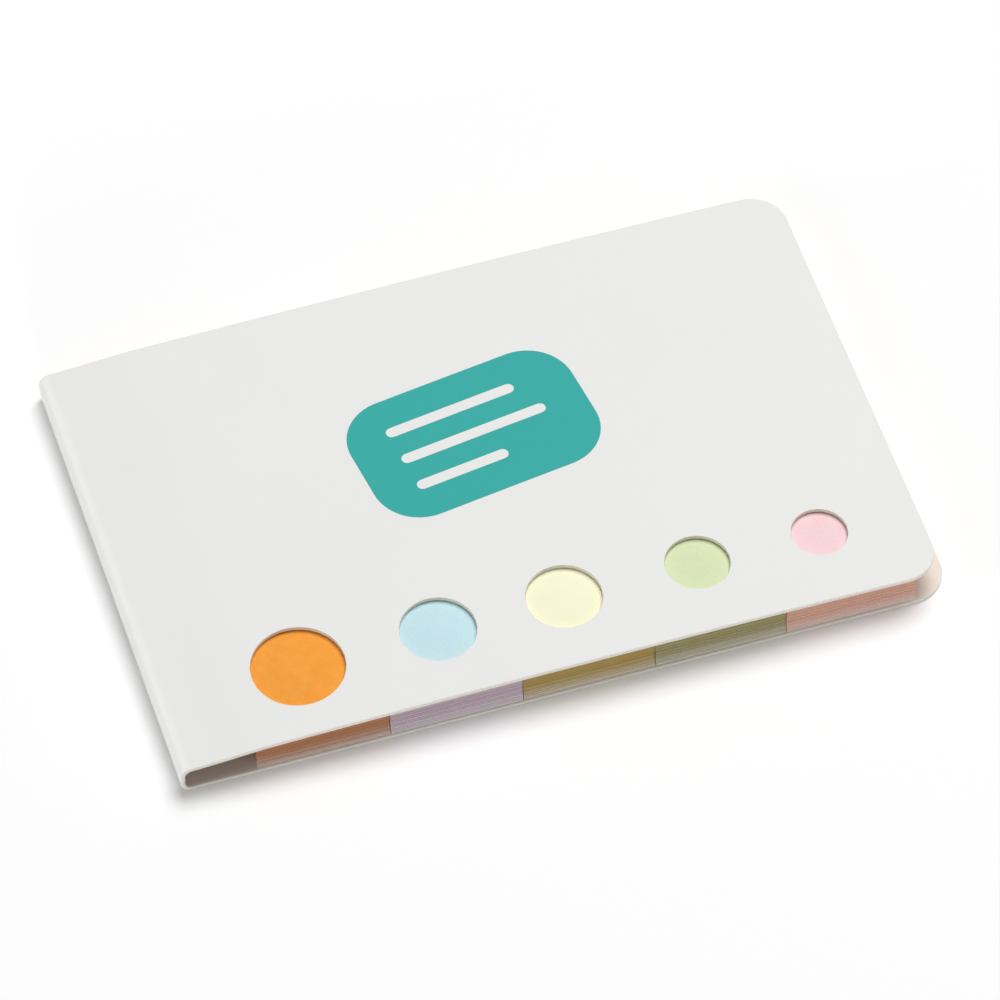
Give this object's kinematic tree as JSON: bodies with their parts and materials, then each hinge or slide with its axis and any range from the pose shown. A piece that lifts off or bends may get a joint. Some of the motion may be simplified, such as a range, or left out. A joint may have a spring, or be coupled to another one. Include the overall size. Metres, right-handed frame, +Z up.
{
  "type": "sticky note booklet",
  "caption": "Card booklet whose hinged front cover shows coloured page-marker pads through round windows.",
  "frame": {"origin": "on the surface the booklet lies on, under the middle of the closed booklet's bounding box", "axes": "+X from the spine to the free edge, +Z up out of the front cover, -Y the long side with the windows"},
  "size_m": [0.0878, 0.0566, 0.005],
  "materials": {
    "white_card": "smooth coated white card with a soft sheen",
    "teal_ink": "satin printed ink",
    "orange_paper": "matt uncoated note paper",
    "blue_paper": "matt uncoated note paper",
    "yellow_paper": "matt uncoated note paper",
    "green_paper": "matt uncoated note paper",
    "pink_paper": "matt uncoated note paper"
  },
  "bodies": {
    "back_cover": {"back_cover": "white_card", "marker_pad_orange": "orange_paper", "marker_pad_blue": "blue_paper", "marker_pad_yellow": "yellow_paper", "marker_pad_green": "green_paper", "marker_pad_pink": "pink_paper"},
    "spine": {"spine": "white_card"},
    "front_cover": {"front_cover": "white_card", "cover_print": "teal_ink"}
  },
  "joints": [
    {"name": "back_fold", "type": "hinge", "parent": "back_cover", "child": "spine", "pos_m": [-0.04385, 0, 0.0013], "axis": [0, -1, 0], "range_deg": [0, 90]},
    {"name": "front_fold", "type": "hinge", "parent": "spine", "child": "front_cover", "pos_m": [-0.04385, 0, 0.00245], "axis": [0, -1, 0], "range_deg": [0, 88]}
  ]
}
